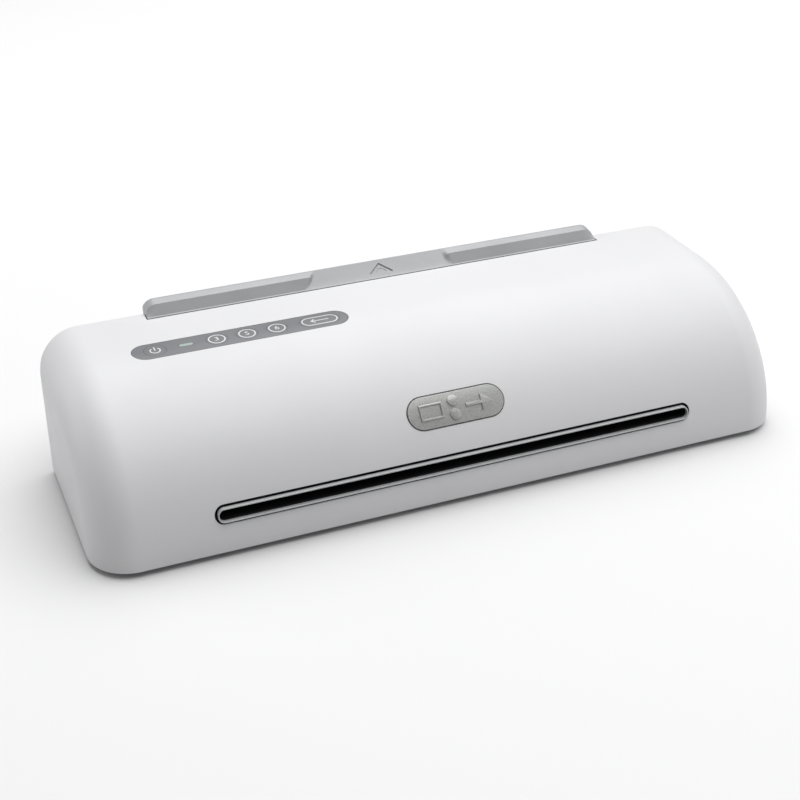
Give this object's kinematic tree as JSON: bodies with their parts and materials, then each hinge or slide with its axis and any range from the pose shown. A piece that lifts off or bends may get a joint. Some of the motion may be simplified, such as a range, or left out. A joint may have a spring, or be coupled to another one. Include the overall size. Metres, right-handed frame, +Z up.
{
  "type": "pouch laminator",
  "caption": "Desktop pouch laminator: curved glossy cover on a flat base, front exit slot, top control strip, folding rear input tray and a geared pair of heated rollers.",
  "frame": {"origin": "centre of the footprint, at the level the feet stand on", "axes": "+X along the length, to the user's right; +Y from the exit slot to the input tray; +Z up"},
  "size_m": [0.364, 0.1216, 0.0774],
  "materials": {
    "cover_white": "glossy",
    "tray_grey": "satin",
    "panel_grey": "satin",
    "lens": "clear",
    "trim_grey": "metallic satin",
    "badge_metal": "brushed",
    "base_grey": "textured",
    "foot_rubber": "matte",
    "steel": "zinc plated",
    "aluminium": "extruded",
    "brass": "turned",
    "silicone": "matte",
    "nylon": "satin",
    "board": "satin",
    "black_plastic": "moulded"
  },
  "bodies": {
    "chassis": {"top_cover": "cover_white", "rear_panel": "tray_grey", "control_panel": "panel_grey", "ready_lens": "lens", "exit_bezel": "trim_grey", "badge_plate": "badge_metal", "base_tray": "base_grey", "foot_front_left": "foot_rubber", "foot_front_right": "foot_rubber", "foot_rear_left": "foot_rubber", "foot_rear_right": "foot_rubber", "case_screw_front_left": "steel", "case_screw_front_right": "steel", "case_screw_rear_left": "steel", "case_screw_rear_right": "steel", "tray_pin_left": "steel", "tray_pin_right": "steel", "frame_left": "steel", "frame_right": "steel", "pressure_spring_left": "steel", "pressure_spring_right": "steel", "idler_stud": "steel", "motor_bracket": "steel", "thermal_fuse": "steel", "transformer": "steel", "lower_heater_shoe": "aluminium", "upper_heater_shoe": "aluminium", "motor": "aluminium", "lower_bush_left": "brass", "lower_bush_right": "brass", "upper_bush_left": "brass", "upper_bush_right": "brass", "main_board": "board", "control_board": "board", "feed_guide_lower": "black_plastic", "feed_guide_upper": "black_plastic", "exit_guide_lower": "black_plastic", "exit_guide_upper": "black_plastic", "thermostat": "black_plastic", "supply_capacitor": "black_plastic", "mains_inlet": "black_plastic"},
    "input_tray": {"input_tray": "tray_grey"},
    "lower_roller": {"lower_roller": "silicone", "lower_shaft": "steel", "lower_roller_gear": "nylon", "lower_drive_gear": "nylon"},
    "upper_roller": {"upper_roller": "silicone", "upper_shaft": "steel", "upper_roller_gear": "nylon"},
    "idler": {"idler_gear": "nylon"},
    "motor_rotor": {"motor_pinion": "brass"},
    "power_key": {"power_key": "panel_grey"},
    "thickness_key_3": {"thickness_key_3": "panel_grey"},
    "thickness_key_5": {"thickness_key_5": "panel_grey"},
    "thickness_key_6": {"thickness_key_6": "panel_grey"},
    "reverse_key": {"reverse_key": "panel_grey"}
  },
  "joints": [
    {"name": "tray_fold", "type": "hinge", "parent": "chassis", "child": "input_tray", "pos_m": [0, 0.04382, 0.0165], "axis": [-1, 0, 0], "range_deg": [0, 68]},
    {"name": "lower_roller_spin", "type": "hinge", "parent": "chassis", "child": "lower_roller", "pos_m": [0.138, -0.01078, 0.01585], "axis": [1, 0, 0], "continuous": true},
    {"name": "upper_roller_spin", "type": "hinge", "parent": "chassis", "child": "upper_roller", "pos_m": [0.138, -0.01078, 0.03015], "axis": [1, 0, 0], "continuous": true},
    {"name": "idler_spin", "type": "hinge", "parent": "chassis", "child": "idler", "pos_m": [0.138, 0.01147, 0.02485], "axis": [1, 0, 0], "continuous": true},
    {"name": "motor_spin", "type": "hinge", "parent": "chassis", "child": "motor_rotor", "pos_m": [0.138, 0.01147, 0.04585], "axis": [1, 0, 0], "continuous": true},
    {"name": "power_key_press", "type": "slide", "parent": "chassis", "child": "power_key", "axis": [0, 0, -1], "range_m": [0, 0.0006], "stiffness_N_per_m": 800},
    {"name": "thickness_key_3_press", "type": "slide", "parent": "chassis", "child": "thickness_key_3", "axis": [0, 0, -1], "range_m": [0, 0.0006], "stiffness_N_per_m": 800},
    {"name": "thickness_key_5_press", "type": "slide", "parent": "chassis", "child": "thickness_key_5", "axis": [0, 0, -1], "range_m": [0, 0.0006], "stiffness_N_per_m": 800},
    {"name": "thickness_key_6_press", "type": "slide", "parent": "chassis", "child": "thickness_key_6", "axis": [0, 0, -1], "range_m": [0, 0.0006], "stiffness_N_per_m": 800},
    {"name": "reverse_key_press", "type": "slide", "parent": "chassis", "child": "reverse_key", "axis": [0, 0, -1], "range_m": [0, 0.0006], "stiffness_N_per_m": 800}
  ],
  "couplings": [
    {"joint": "upper_roller_spin", "follows": "lower_roller_spin", "ratio": -1},
    {"joint": "idler_spin", "follows": "lower_roller_spin", "ratio": -0.6},
    {"joint": "motor_spin", "follows": "lower_roller_spin", "ratio": 1.5}
  ]
}
